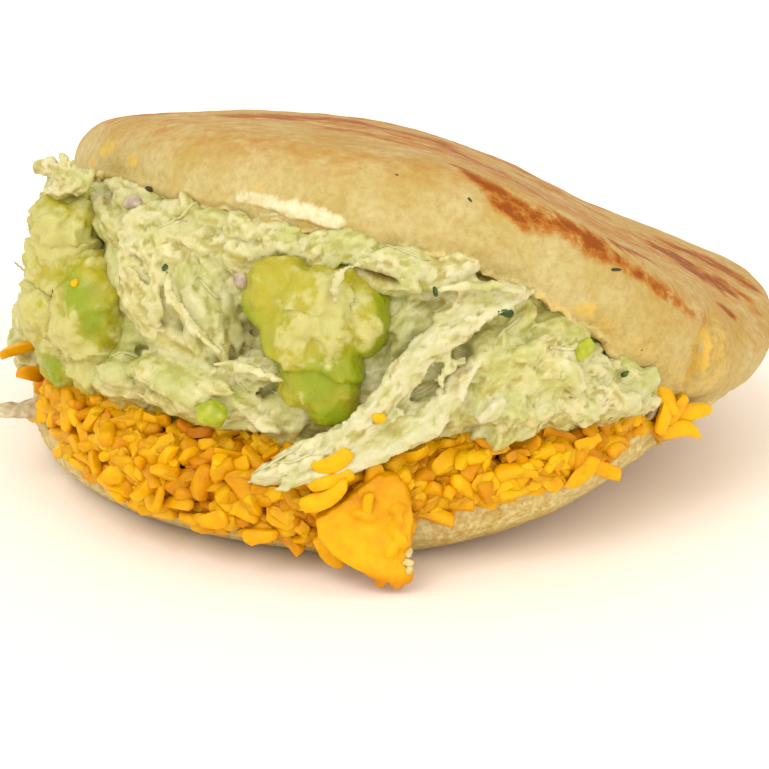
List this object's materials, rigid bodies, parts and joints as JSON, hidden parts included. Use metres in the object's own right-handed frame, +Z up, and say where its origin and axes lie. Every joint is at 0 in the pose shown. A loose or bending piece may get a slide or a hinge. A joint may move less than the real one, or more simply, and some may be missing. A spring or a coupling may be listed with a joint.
{
  "type": "stuffed arepa corn cake",
  "caption": "Round griddled corn cake split like a pocket, propped open over a bed of grated cheese and a creamy chicken and avocado salad.",
  "frame": {"origin": "on the table, under the middle of the corn cake", "axes": "+X to the right along the open mouth, -Y out of the mouth's front, +Z up"},
  "size_m": [0.116, 0.1192, 0.0581],
  "materials": {
    "griddled_corn_dough": "matte crust, griddled brown on top",
    "cheddar": "soft waxy sheen",
    "creamy_salad": "moist and creamy",
    "avocado": "moist and smooth"
  },
  "bodies": {
    "root": {"corn_cake": "griddled_corn_dough", "grated_cheese": "cheddar", "cheese_slab": "cheddar", "chicken_salad": "creamy_salad", "avocado_front": "avocado", "avocado_left": "avocado"}
  },
  "joints": []
}
